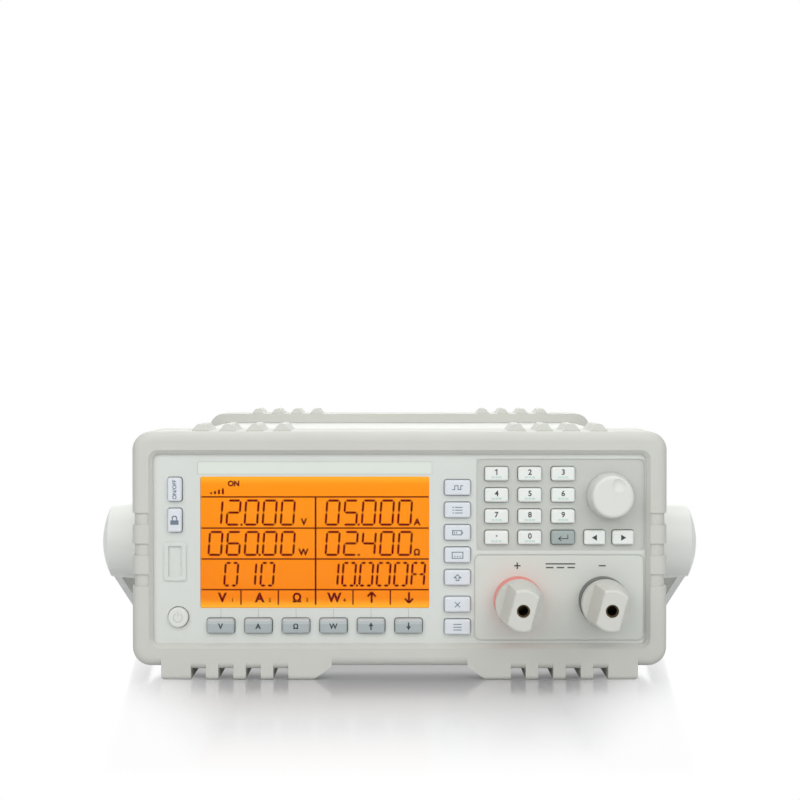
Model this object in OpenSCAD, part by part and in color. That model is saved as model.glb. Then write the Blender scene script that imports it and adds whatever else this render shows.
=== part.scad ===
// Bench DC electronic load: metal case between two rubber bumpers, keypad front, turning handle.
// Lengths are in millimetres. The front looks towards -Y and the feet stand on Z = 0.

/* [Case] */
// Width of the metal case
case_w = 214; // [213:1:240]
// Height of the metal case
case_h = 88; // [87:1:100]
// Length over both bumpers
span_l = 365; // [350:1:440]
// Thickness of the case sheet
sheet_t = 1.2; // [1:0.1:1.6]
// Bend radius at the case edges
case_r = 2; // [1.7:0.1:2.5]
// Height of the tray's side flanges
tray_flange_h = 18; // [14:1:26]
// Clearance between parts of the case that slide together
case_fit = 0.15; // [0.05:0.05:0.3]

/* [Bumpers] */
// Rubber beside the case
bumper_side = 8; // [6:0.5:9]
// Rubber above the case
bumper_top = 5.6; // [5:0.1:8]
// Rubber below the case
bumper_low = 7.2; // [6:0.1:9]
// Length of each bumper along the case
bumper_l = 45; // [36:1:46]
// Corner radius of the bumper's outline
bumper_r = 8; // [7.5:0.5:11]
// Rounding of the bumper's outer edge
bumper_edge_r = 4; // [2:0.5:4.5]
// How far the lip reaches over the case at the sides
lip_side = 1; // [0.6:0.1:1.4]
// How far the lip reaches over the case at the top
lip_top = 3.9; // [3:0.1:4.2]
// How far the lip reaches over the case at the bottom
lip_low = 2.2; // [1.4:0.1:3]
// Thickness of the front lip
front_lip_t = 3.2; // [2.6:0.1:4]
// Thickness of the rear lip, which guards the connectors
rear_lip_t = 12; // [11:0.5:16]
// Corner radius of the opening
lip_r = 2.5; // [1.5:0.5:4]
// Chamfer around the opening
lip_chamfer = 1.7; // [1:0.1:2.4]
// Height of the side grooves
groove_h = 5.2; // [3:0.1:6]
// Depth of the side grooves
groove_d = 0.8; // [0.3:0.1:1]
// Distance between the side grooves
groove_pitch = 13.2; // [8:0.1:15]

/* [Feet and ridges] */
// Height of the feet below the bumper
foot_h = 5.8; // [5.4:0.1:10]
// Outer end of a foot from the middle
foot_out = 102.4; // [101.5:0.1:103]
// Inner end of a foot from the middle
foot_in = 37.2; // [30:0.1:42]
// Run of the foot's sloping inner end
foot_slope = 8.1; // [4:0.1:10]
// Rounding of the foot's outer corner
foot_r = 1.6; // [1:0.1:2]
// Rounding along the feet's lower front edge
foot_edge_r = 2; // [1:0.1:2.4]
// How far the feet end before the bumper's inner end
foot_set = 1.6; // [1:0.1:3]
// First notch and ridge from the middle
notch_x = 51; // [49:0.1:51.2]
// Distance between notches
notch_pitch = 11.8; // [10:0.1:12]
// Width of a notch
notch_w = 6.5; // [5.5:0.1:7]
// Height of a notch
notch_h = 4.7; // [4.4:0.1:5.2]
// Rounding of the bumper's face over a notch
mouth_r = 2.9; // [1.5:0.1:3.2]
// Height of a ridge
ridge_h = 3; // [2:0.1:3.4]
// Width at the foot of a ridge
ridge_w = 7.8; // [6:0.1:8]
// Width of the flat on top of a ridge
ridge_top_w = 1.6; // [1:0.1:2.4]
// Rounding beside that flat
ridge_r = 1.4; // [0.8:0.1:1.6]
// Start of the ridges behind the bumper's face
ridge_set = 9; // [6:0.5:14]

/* [Front panel] */
// Thickness of the panel
panel_t = 2.8; // [2.4:0.1:3.4]
// Length of the panel's skirt inside the case
skirt_l = 12; // [11:0.5:20]
// Thickness of the skirt
skirt_t = 2; // [1.5:0.1:2.2]
// Depth of the recessed keypad field
field_d = 0.6; // [0.3:0.1:0.9]
// Inset of both right-hand fields from the panel's right edge
field_edge = 1.5; // [1.2:0.1:2]
// Left end of the keypad field, from the right edge
keypad_field_w = 73.9; // [72.4:0.1:74.2]
// Bottom of the keypad field above the case bottom
keypad_field_z = 42.4; // [41.6:0.1:42.8]
// Top of the keypad field above the case bottom
keypad_field_top = 81.9; // [80:0.1:82.5]
// Left end of the input field, from the right edge
input_field_w = 75; // [73:0.1:75.2]
// Bottom of the input field above the case bottom
input_field_z = 3.4; // [3.2:0.1:6]
// Top of the input field above the case bottom
input_field_top = 40.8; // [38:0.1:41]
// Corner radius of the fields
field_r = 3; // [1:0.1:4]
// Width and depth of the line around the input field
line_w = 0.6; // [0.4:0.1:0.9]
// Width of the blanked port's frame
port_w = 9.4; // [8.5:0.1:9.8]
// Height of the blanked port's frame
port_h = 16.7; // [15:0.1:18]
// Wall of the port's frame
port_wall = 1.75; // [1.2:0.05:2]
// Height of the port's frame above the panel
port_proud = 0.9; // [0.5:0.1:1.4]
// Middle of the port above the case bottom
port_z = 37.8; // [37:0.1:38.2]

/* [Display] */
// Left edge of the display from the panel's left edge
lcd_edge = 21.3; // [20.8:0.1:21.8]
// Right edge of the display from the panel's right edge
lcd_right = 94.3; // [93.8:0.1:96]
// Height of the display window
lcd_h = 56.5; // [54:0.1:57]
// Bottom of the window above the case bottom
lcd_z = 17.6; // [17.2:0.1:18.6]
// Border of the window's ledge behind the panel
lcd_ledge = 1.8; // [1:0.1:2]
// Thickness of the ledge
lcd_ledge_t = 1.2; // [0.8:0.1:1.6]
// Height of the bare strip above the window
strip_h = 5.4; // [4:0.1:5.6]
// How far the strip is wider than the window at each end
strip_over = 1.4; // [0.5:0.1:1.6]

/* [Keys] */
// Gap around each key in the panel
key_gap = 0.3; // [0.2:0.05:0.45]
// Height of the keys above the panel
key_proud = 2.4; // [1.8:0.1:3]
// Travel of the keys
key_travel = 1.2; // [0.8:0.1:1.6]
// Corner radius of the keys
key_r = 1.1; // [0.6:0.1:1.4]
// Rounding of the keys' front edges
key_edge_r = 0.9; // [0.3:0.1:1]
// Width of the ledge that holds a key behind the panel
key_ledge = 0.9; // [0.6:0.1:1]
// Thickness of that ledge
key_ledge_t = 1.2; // [0.8:0.1:1.6]
// Length of the key's stem
key_stem_l = 2; // [1.4:0.1:2.4]
// Middle of the left-hand keys from the panel's left edge
left_x = 10.4; // [10.2:0.1:10.8]
// Width of the two left-hand keys
left_key_w = 6.1; // [5.5:0.1:8]
// Height of the two left-hand keys
left_key_h = 10.2; // [8:0.1:10.8]
// Middle of the upper left-hand key above the case bottom
left_z = 68.8; // [68:0.1:69.4]
// Distance between the left-hand keys
left_pitch = 13.3; // [13:0.1:14]
// Diameter of the power button
power_d = 8.7; // [8:0.1:9.6]
// Middle of the power button from the panel's left edge
power_x = 11.8; // [11.2:0.1:12.2]
// Middle of the power button above the case bottom
power_z = 13.7; // [13:0.1:15]
// How much shorter than the display the row of soft keys is
soft_in = 1.44; // [0:0.01:4]
// Gap between soft keys
soft_gap = 4.36; // [2.6:0.01:5]
// Height of the soft keys above the case bottom
soft_z = 10; // [9.6:0.1:10.4]
// Height of a soft key
soft_key_h = 6.4; // [6:0.1:7.6]
// Middle of the side keys right of the display window
side_x = 12.2; // [12:0.1:12.4]
// Top side key above the case bottom
side_z = 69.6; // [69:0.1:70]
// Distance between the side keys
side_pitch = 9.68; // [9.6:0.01:9.8]
// Drop from the fifth to the sixth side key
side_step = 11.6; // [11:0.1:12]
// Width of a side key
side_key_w = 11.2; // [9:0.1:12]
// Height of a side key
side_key_h = 6.6; // [5.5:0.1:7.3]
// First number column from the panel's right edge
num_x = 65.3; // [65:0.1:65.6]
// Distance between the number columns
num_pitch_x = 14.3; // [13:0.1:14.4]
// Top number row above the case bottom
num_z = 75.5; // [75.2:0.1:75.8]
// Distance between the number rows
num_pitch_z = 9.15; // [8.9:0.01:9.3]
// Width of a number key
num_key_w = 10.1; // [9:0.1:11]
// Height of a number key
num_key_h = 6; // [5.5:0.1:7]
// Right arrow key from the panel's right edge
arrow_x = 10.9; // [10.5:0.1:11.2]
// Distance between the arrow keys
arrow_pitch = 12.2; // [11.8:0.1:12.4]
// Width of an arrow key
arrow_key_w = 9.2; // [8:0.1:10]
// Height of an arrow key
arrow_key_h = 6.2; // [5.5:0.1:7]

/* [Knob] */
// Middle of the knob from the panel's right edge
knob_x = 16.4; // [15:0.1:16.8]
// Middle of the knob above the case bottom
knob_z = 66.1; // [65:0.1:67]
// Diameter of the knob's skirt
knob_d = 20; // [18:0.1:21.4]
// Diameter of the knob's face
knob_face_d = 18; // [15:0.1:18.6]
// Height of the knob above its field
knob_h = 12.4; // [9:0.1:16]
// Diameter of the encoder shaft
shaft_d = 6; // [4:0.1:6]
// Radial running clearance of turning shafts
run_fit = 0.05; // [0.02:0.01:0.09]

/* [Binding posts] */
// Distance between the binding posts
post_pitch = 36.6; // [30:0.1:38]
// Right post from the panel's right edge
post_x = 19.4; // [18:0.1:20]
// Height of the posts above the case bottom
post_z = 20.8; // [20:0.1:22]
// Diameter of the insulating base
base_d = 21; // [18:0.1:22]
// Height of the base in front of the panel
base_h = 9; // [7:0.1:10]
// Diameter of the neck through the panel
neck_d = 12; // [11:0.1:13]
// Diameter of the threaded stud
stud_d = 8; // [7:0.1:8.4]
// Diameter of the plug socket in the stud
socket_d = 4.1; // [4:0.05:4.2]
// Depth of the plug socket
socket_l = 19; // [15:0.5:20]
// Diameter of the cap
cap_d = 20.8; // [18:0.1:22]
// Length of the cap
cap_l = 25.7; // [24:0.1:28]
// Length of the cap's round collar
collar_l = 6.4; // [5:0.1:8]
// Width of the grip bar at the cap's face
bar_w = 9.2; // [9:0.1:12]
// Width of the grip bar at the collar
bar_root_w = 14.4; // [14.2:0.1:18]
// Turn of the grip bar from upright
bar_turn = 15; // [0:1:45]
// Diameter of the cap at its face
cap_face_d = 17.8; // [16.5:0.1:20]
// Diameter of the hole in the cap's face
cap_hole_d = 5.5; // [5:0.1:6]
// Length of the threaded insert in the cap
insert_l = 8; // [6:0.5:8]
// Outside diameter of the insert
insert_d = 12.6; // [12:0.1:13]

/* [Handle] */
// Pivot behind the front bumper's face
pivot_y = 66; // [65.5:0.1:74]
// Pivot above the case bottom
pivot_z = 40.7; // [40:0.1:44]
// Diameter of the drum at the case
drum_d = 37; // [34:0.5:38]
// Diameter of the drum at the arm
drum_end_d = 33.2; // [28:0.2:34]
// Distance from the middle to the end of the drum's barrel
arm_out = 133.5; // [132.5:0.1:142]
// Thickness of the arm
arm_t = 3.4; // [3:0.1:5]
// Height of the drum's domed end
dome_h = 4.1; // [2:0.1:6]
// Distance along the case from the pivot to the grip
grip_run = 118; // [112:0.5:124]
// Distance along the case from the pivot to the bend in the arm's lower edge
elbow_run = 66; // [60:0.5:72]
// Drop from the pivot to that bend
elbow_drop = 40.6; // [39:0.1:42]
// Thickness of the grip
grip_t = 9.8; // [8:0.1:10]
// Width of the grip
grip_w = 24; // [16:0.5:26]
// Space between the grip and the bench
grip_clear = 1.3; // [1:0.1:1.8]
// Diameter of the hub's post
hub_d = 18; // [14:0.5:20]
// Diameter of the hub's flange
hub_flange_d = 26; // [22:0.5:28]
// Thickness of the hub's flange
hub_flange_t = 2; // [1.5:0.1:2.4]
// Length of the hub's post
hub_l = 15; // [10:0.5:17]

/* [Rear] */
// Thickness of the rear panel
rear_t = 1.5; // [1:0.1:2]
// Space between the square fan and the case's top and bottom
fan_edge = 4; // [4:0.5:10]
// Depth of the fan
fan_l = 25; // [20:1:30]
// Middle of the fan from the right side of the case
fan_in = 62; // [58:0.5:64]
// Thickness of the bars left in the punched grille
grille_bar = 2.2; // [1.5:0.1:3]
// Number of rings in the punched grille
grille_rings = 5; // [3:1:6]
// Diameter of the fan's hub
fan_hub_d = 32; // [26:1:36]
// Number of fan blades
blades = 7; // [5:1:9]
// Mains inlet from the left side of the case
inlet_in = 35; // [33:0.5:40]
// Mains inlet above the case bottom
inlet_z = 26; // [24:0.5:30]
// Serial port and sense terminals from the left side of the case
ports_in = 35; // [31:0.5:42]
// Serial port above the case bottom
serial_z = 69; // [67:0.5:72]
// Sense terminals above the case bottom
sense_z = 52; // [51:0.5:53]

/* [Inside] */
// Distance from the panel to the keypad board
board_gap = 8.5; // [8.2:0.1:10]
// Thickness of circuit boards
board_t = 1.6; // [1:0.1:2]
// Length of the heat sink
sink_l = 190; // [150:1:195]
// Number of heat sink fins
fins = 12; // [8:1:14]
// Thickness of a fin
fin_t = 2; // [1.5:0.1:2.4]
// Height of the main board above the tray
board_stand = 8; // [6:0.5:10]
// Space between the main board and the transistors
main_gap = 11.8; // [6:0.1:16]
// Length of the main board
main_l = 200; // [160:1:220]

/* [Hidden] */
$fn = 64;
// Heights on both panels are given for a case of this height, and stretch with it
design_h = 88;
stretch = case_h / design_h;
eps = 0.01;
// A length past a face, for cutters
over = 1;

// Heights and depths of the main faces; depth counts from the front bumper's face
case_z = foot_h + bumper_low;
case_mid = case_z + case_h / 2;
case_top = case_z + case_h;
bumper_w = case_w + 2 * bumper_side;
bumper_h = case_h + bumper_top + bumper_low;
bumper_mid = case_mid + (bumper_top - bumper_low) / 2;
open_w = case_w - 2 * lip_side;
open_h = case_h - lip_top - lip_low;
open_mid = case_mid + (lip_low - lip_top) / 2;
// Height up to which the feet fill the rounding of the bumper's lower front edge
foot_root = foot_h + bumper_edge_r;
groove_low = 1;
groove_mid = case_mid - groove_low;
lip_round = 0.5;
ridge_edge = 0.5;
ridge_end = 2;
notch_r = 1;
panel_y = front_lip_t;
panel_back = panel_y + panel_t;
rear_y = span_l - rear_lip_t;
rear_in = rear_y - rear_t;
cap_front = base_h + case_fit * 2 + cap_l;
overall_l = span_l + cap_front - panel_y;
front_y = -overall_l / 2 + cap_front - panel_y;
left = -case_w / 2;
right = case_w / 2;
inner_w = case_w - 2 * sheet_t;
skirt_w = inner_w - 2 * sheet_t - 2 * case_fit;
skirt_h = case_h - 2 * sheet_t - 2 * case_fit;
skirt_r = 1;

// A size to the nearest hundredth of a millimetre
function fine(size) = round(size * 100) / 100;

// A height on a panel, stretched with the case
function tall(height) = fine(height * stretch);

// Height above the bench of a place on a panel, given above the case bottom
function up(z) = case_z + tall(z);

// Display window and the module behind it
lcd_w = case_w - lcd_edge - lcd_right;
lcd_tall = tall(lcd_h);
lcd_x = left + lcd_edge + lcd_w / 2;
lcd_mid = up(lcd_z + lcd_h / 2);
lcd_r = 0.8;
port_floor = 0.2;
window_gap = 0.15;
window_back = panel_back + lcd_ledge_t;
strip_gap = 1.1;
strip_d = 0.3;
strip_z = up(lcd_z + lcd_h + strip_gap + strip_h / 2);
display_gap = 0.3;

// Board with the switches
board_y = panel_back + board_gap;
board_w = skirt_w - 2 * skirt_t - 2 * case_fit;
board_h = skirt_h - 2 * skirt_t - 2 * case_fit;
stem_end = panel_back + case_fit + key_ledge_t + key_stem_l;
plunger_h = 0.9;
plunger_d = 3.2;
switch_s = 6;
switch_y = stem_end + key_travel + case_fit + plunger_h;
stem_d = 3;
// Gap under a part that is soldered to a board
solder = 0.05;
boss_r = 1.8;
boss_in = 5.5;
boss_foot = 5.4;
boss_head = 7.9;
boss_low = case_z + boss_foot;
boss_high = case_top - boss_head;
side_mid = left + lcd_edge + lcd_w + side_x;
boss_mid = (side_mid + side_key_w / 2 + right - num_x - num_key_w / 2) / 2;
BOSSES = [
    [left + boss_in, boss_low],
    [left + boss_in, boss_high],
    [boss_mid, boss_low],
    [boss_mid, boss_high],
    [right - boss_in, boss_low],
    [right - boss_in, boss_high]
];

// Every key: name, middle, size and colour; a size of one number is a round button
white = [0.88, 0.9, 0.91];
blue_grey = [0.69, 0.74, 0.77];
number_white = [0.9, 0.92, 0.9];
soft_pitch = 2 * fine((lcd_w - soft_in) / 12);
left_key = [left_key_w, tall(left_key_h)];
soft_key = [soft_pitch - soft_gap, tall(soft_key_h)];
side_key = [side_key_w, tall(side_key_h)];
num_key = [num_key_w, tall(num_key_h)];
arrow_key = [arrow_key_w, tall(arrow_key_h)];
left_keys = [
    ["power_button", left + power_x, up(power_z), power_d, number_white],
    ["output_key", left + left_x, up(left_z), left_key, white],
    ["lock_key", left + left_x, up(left_z - left_pitch), left_key, white]
];
soft_keys = [for (i = [0 : 5])
    [str("soft_key_", i + 1), lcd_x + (i - 2.5) * soft_pitch, up(soft_z), soft_key, blue_grey]];
side_keys = [for (i = [0 : 6])
    [str("side_key_", i + 1), side_mid,
     up(side_z - i * side_pitch - (i > 4 ? side_step - side_pitch : 0)), side_key, white]];
NUMBERS = ["1", "2", "3", "4", "5", "6", "7", "8", "9", "dot", "0", "enter"];
num_keys = [for (i = [0 : 11])
    [str("number_key_", NUMBERS[i]), right - num_x + (i % 3) * num_pitch_x,
     up(num_z - floor(i / 3) * num_pitch_z), num_key, i == 11 ? blue_grey : number_white]];
arrow_keys = [for (i = [0, 1])
    [["arrow_key_left", "arrow_key_right"][i], right - arrow_x - (1 - i) * arrow_pitch,
     up(num_z - 3 * num_pitch_z), arrow_key, number_white]];
KEYS = concat(left_keys, soft_keys, side_keys, num_keys, arrow_keys);

// Encoder and knob
knob_mid = [right - knob_x, up(knob_z)];
field_face = panel_y + field_d;
knob_gap = 0.5;
bushing_d = shaft_d + 1.4;
encoder_s = 12.4;
encoder_y = panel_back + case_fit;
shaft_in = 5;

// Binding posts
POSTS = [[right - post_x - post_pitch, up(post_z)], [right - post_x, up(post_z)]];
base_front = panel_y - base_h;
cap_back = base_front - case_fit * 2;
cap_face = cap_back - cap_l;
cap_wall = 1.2;
stud_set = 0.4;
stud_front = cap_face + cap_wall + stud_set;
nut_t = 5;
nut_d = 15;
neck_l = panel_t + 3;
stud_tail = 10;
stud_gap = 0.35;

// Handle, worked out at the right-hand side
pivot = [pivot_y, up(pivot_z)];
grip_mid = [pivot_y + grip_run, grip_clear + grip_t / 2];
hub_x = case_w / 2;
drum_x = hub_x + hub_flange_t + case_fit * 2;
drum_end_r = drum_end_d / 2;
dome_r = (drum_end_r * drum_end_r + dome_h * dome_h) / (2 * dome_h);
hub_end = hub_x + hub_flange_t + hub_l;
arm_step = 0.4;
arm_face = arm_out - arm_step;
arm_in = arm_face - arm_t;
pivot_screw_d = 5;
pivot_head_d = 9;
pivot_head_h = 3;

// Vents, screws and the rear
vent_w = 3;
vent_h = 30;
vent_pitch = 7;
vents = 14;
vent_set = 30;
vent_y = pivot_y + drum_d / 2 + vent_set;
screw_d = 4;
screw_head_d = 7;
screw_head_h = 2.2;
screw_fit = 0.1;
side_screw_z = case_z + sheet_t + tray_flange_h / 2;
screw_in = 50;
first_screw = bumper_l + screw_in;
last_screw = rear_y - screw_in;
SIDE_SCREWS = [first_screw, (first_screw + last_screw) / 2, last_screw];
fan_s = case_h - 2 * fan_edge;
fan_mid = [right - fan_in, case_mid];
fan_y = rear_in - fan_l;
fan_hole_in = 4.25;
fan_hole = fan_s / 2 - fan_hole_in;
fan_r = fan_s / 2 - 2;
fan_wall = 3.5;
fan_tip = 1;
rotor_y = fan_y + 5;
rotor_end = rear_in - 2;
rotor_wall = 2;
fan_pin_d = 3;
inlet = [left + inlet_in, up(inlet_z)];
inlet_body = [48, 26];
inlet_flange = [53, 31];
inlet_flange_t = 3;
inlet_r = 2;
inlet_l = 24;
cavity = [25, 17];
cavity_r = 2.5;
cavity_l = 17;
cavity_x = -9;
pin_l = 10;
drawer = [16, 21];
drawer_x = 13.5;
drawer_l = 18;
drawer_face_t = 2;
drawer_travel = 14;
serial = [left + ports_in, up(serial_z)];
sense = [left + ports_in, up(sense_z)];
serial_w = 19;
serial_h = 10.6;
serial_plate = [31, 12.6];
sense_size = [26, 10];
tray_top = case_z + sheet_t;
sink_w = fan_s;
sink_base_t = 6;
sink_wall_t = 6;
sink_head = 8;
sink_top = case_top - sink_head;
sink_gap = 4;
sink_y = fan_y - sink_gap - sink_l;
transistors = 6;
transistor = [5, 16, 21];
main_edge = 6;
main_left = left + sheet_t + main_edge;
main_w = fan_mid[0] - sink_w / 2 - transistor[0] - main_gap - main_left;
main_x = main_left + main_w / 2;
main_set = 20;
main_y = bumper_l + main_set;
stand_d = 6;

// Colours of the finishes
rubber_grey = [0.79, 0.8, 0.77];
panel_grey = [0.83, 0.85, 0.82];
case_white = [0.85, 0.86, 0.84];
arm_grey = [0.85, 0.87, 0.85];

// Places children at the front bumper's face, so that Y counts the depth into the case
module from_front() {
    translate([0, front_y, 0]) children();
}

// Extrudes an X-Z outline from one depth to another
module slab(y0, y1) {
    translate([0, y1, 0]) rotate([90, 0, 0]) linear_extrude(y1 - y0) children();
}

// Extrudes a Y-Z outline from one X to another
module side_slab(x0, x1) {
    translate([x0, 0, 0]) rotate([90, 0, 90]) linear_extrude(x1 - x0) children();
}

// A round bar along Y, from one depth to another
module bar(y0, y1, d) {
    translate([0, y0, 0]) rotate([-90, 0, 0]) cylinder(d = d, h = y1 - y0);
}

// A rectangle with true round corners, about its middle
module rounded(size, r) {
    square([size[0], size[1] - 2 * r], center = true);
    square([size[0] - 2 * r, size[1]], center = true);
    for (x = [-1, 1], y = [-1, 1])
        translate([x * (size[0] / 2 - r), y * (size[1] / 2 - r)]) circle(r);
}

// A bar with round ends, about its middle
module stadium(l, d) {
    square([l - d, d], center = true);
    for (x = [-1, 1]) translate([x * (l - d) / 2, 0]) circle(d = d);
}

// Sweeps a section (outward, depth) around a rounded rectangle that lies across the depth
module frame_sweep(w, h, r) {
    rotate([-90, 0, 0]) for (q = [0 : 3]) {
        side = q % 2 == 0 ? [w, h] : [h, w];
        rotate(90 * q) {
            translate([side[0] / 2 - r, side[1] / 2 - r, 0]) rotate_extrude(angle = 90) children();
            translate([side[0] / 2 - r, 0, 0]) rotate([90, 0, 0])
                linear_extrude(side[1] - 2 * r, center = true) children();
        }
    }
}

// Section of the bumper's outer rim, with its front edge rounded
module rim_section(r, l, edge) {
    square([r - edge, l]);
    translate([0, edge]) square([r, l - edge]);
    translate([r - edge, edge]) circle(edge);
}

// The bumper's outer form before it is opened
module bumper_block() {
    frame_sweep(bumper_w, bumper_h, bumper_r) rim_section(bumper_r, bumper_l, bumper_edge_r);
    slab(0, bumper_l) square([bumper_w - 2 * bumper_r, bumper_h - 2 * bumper_r], center = true);
}

// What a side groove takes off the bumper: everything outside a slightly smaller side
module groove_cut() {
    start = open_w / 2 + lip_chamfer;
    side = bumper_w / 2 - groove_d;
    translate([0, 0, -groove_h / 2]) linear_extrude(groove_h) difference() {
        translate([start, -over]) square([bumper_w / 2 - start + over, bumper_l + 2 * over]);
        translate([0, groove_d + bumper_edge_r]) square([side, bumper_l + over]);
        translate([0, groove_d]) square([side - bumper_edge_r, bumper_l + over]);
        translate([side - bumper_edge_r, groove_d + bumper_edge_r]) circle(bumper_edge_r);
    }
}

// One foot's outline, with the notches that take the ridges of a unit below
module foot_outline() {
    difference() {
        union() {
            polygon([[foot_in, 0], [foot_out - foot_r, 0], [foot_out, foot_r], [foot_out, foot_root],
                     [foot_in - foot_slope, foot_root], [foot_in - foot_slope, foot_h]]);
            translate([foot_out - foot_r, foot_r]) circle(foot_r);
        }
        for (i = [0 : 3]) translate([notch_x + i * notch_pitch, (notch_h - over) / 2])
            rounded([notch_w, notch_h + over], notch_r);
    }
}

// Where the bumper's face curves back over a notch
module notch_mouth() {
    side_slab(-notch_w / 2, notch_w / 2) difference() {
        translate([-over, notch_h - notch_r]) square([mouth_r + over, mouth_r + notch_r]);
        translate([mouth_r, notch_h + mouth_r]) circle(mouth_r);
    }
}

// One foot, flush with the bumper's face and rounded along its lower ends
module foot() {
    l = bumper_l - foot_set;
    difference() {
        intersection() {
            slab(0, l) foot_outline();
            translate([0, l / 2, foot_root])
                side_slab(0, bumper_w) rounded([l, 2 * foot_root], foot_edge_r);
        }
        for (i = [0 : 3]) translate([notch_x + i * notch_pitch, 0, 0]) notch_mouth();
    }
}

// Section of a ridge: a hill with straight flanks that run into its rounded top
module ridge_section() {
    foot = [ridge_w / 2, 0];
    middle = [ridge_top_w / 2, ridge_h - ridge_r];
    run = middle - foot;
    reach = sqrt(run * run - ridge_r * ridge_r);
    rise = atan2(run[1], run[0]) - asin(ridge_r / norm(run));
    flank = foot + reach * [cos(rise), sin(rise)];
    for (s = [0, 1]) mirror([s, 0]) {
        polygon([[0, -over], foot - [0, over], foot, flank, [middle[0], ridge_h], [0, ridge_h]]);
        translate(middle) circle(ridge_r);
    }
}

// One ridge on top of a bumper, with sloped ends
module ridge() {
    first = ridge_set;
    last = bumper_l - ridge_set / 2;
    intersection() {
        slab(first, last) ridge_section();
        side_slab(-ridge_w, ridge_w)
            polygon([[first, -2 * over], [last, -2 * over], [last, ridge_edge],
                     [last - ridge_end, ridge_h + over], [first + ridge_end, ridge_h + over],
                     [first, ridge_edge]]);
    }
}

// A whole bumper whose lip is lip_t thick, with its face at depth 0
module bumper(lip_t) {
    inside = lip_r - lip_round;
    reach = lip_r + lip_chamfer;
    difference() {
        translate([0, 0, bumper_mid]) bumper_block();
        translate([0, 0, case_mid]) slab(lip_t, bumper_l + over)
            rounded([case_w + 2 * case_fit, case_h + 2 * case_fit], case_r);
        translate([0, 0, open_mid]) {
            slab(-over, lip_t + over) rounded([open_w, open_h], lip_r);
            frame_sweep(open_w, open_h, lip_r)
                polygon([[inside, reach - inside], [inside, -over], [reach + over, -over]]);
        }
        for (s = [0, 1], i = [-1 : 1])
            mirror([s, 0, 0]) translate([0, 0, groove_mid + i * groove_pitch]) groove_cut();
    }
    for (s = [0, 1]) mirror([s, 0, 0]) {
        foot();
        for (i = [0 : 3]) translate([notch_x + i * notch_pitch, 0, case_top + bumper_top]) ridge();
    }
}

module front_bumper() {
    color(rubber_grey) from_front() bumper(front_lip_t);
}

module rear_bumper() {
    color(rubber_grey) from_front() translate([0, span_l, 0]) mirror([0, 1, 0]) bumper(rear_lip_t);
}

// Bars along X at the side screws of both sides
module side_screw_bars(d) {
    for (y = SIDE_SCREWS) translate([0, y, side_screw_z]) rotate([0, 90, 0])
        cylinder(d = d, h = case_w + 2 * over, center = true);
}

// Bars along X at the handle's pivot
module pivot_bar(d) {
    translate([0, pivot[0], pivot[1]]) rotate([0, 90, 0])
        cylinder(d = d, h = case_w + 2 * over, center = true);
}

module chassis_tray() {
    color(case_white) from_front() difference() {
        slab(panel_back + case_fit, rear_in) translate([0, case_z]) {
            translate([-inner_w / 2, 0]) square([inner_w, sheet_t]);
            for (x = [-inner_w / 2, inner_w / 2 - sheet_t]) translate([x, 0])
                square([sheet_t, tray_flange_h + sheet_t]);
        }
        side_screw_bars(screw_d + 2 * screw_fit);
    }
}

module top_cover() {
    color(case_white) from_front() difference() {
        slab(panel_back + case_fit, rear_in) difference() {
            translate([0, case_mid]) rounded([case_w, case_h], case_r);
            translate([0, case_mid - sheet_t - case_r])
                square([inner_w, case_h - 2 * case_r + 2 * sheet_t], center = true);
            translate([0, case_z]) square([inner_w, case_h], center = true);
            translate([0, case_mid]) rounded([inner_w, case_h - 2 * sheet_t], case_r - sheet_t);
        }
        side_screw_bars(screw_d + 2 * screw_fit);
        pivot_bar(pivot_screw_d + 2 * screw_fit);
        for (i = [0 : vents - 1]) translate([0, vent_y + i * vent_pitch, case_mid])
            side_slab(-case_w, case_w) rotate(90) stadium(vent_h, vent_w);
    }
}

// A key's outline, grown by a margin; round where its size is one number
module key_outline(size, grow) {
    if (is_list(size)) rounded([size[0] + 2 * grow, size[1] + 2 * grow], key_r + grow);
    else circle(size / 2 + grow);
}

// The right-hand fields, as outlines on the panel
module field(from_right, z0, z1, grow) {
    w = from_right - field_edge;
    translate([right - field_edge - w / 2, up((z0 + z1) / 2)])
        rounded([w + 2 * grow, tall(z1 - z0) + 2 * grow], field_r + grow);
}

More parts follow.
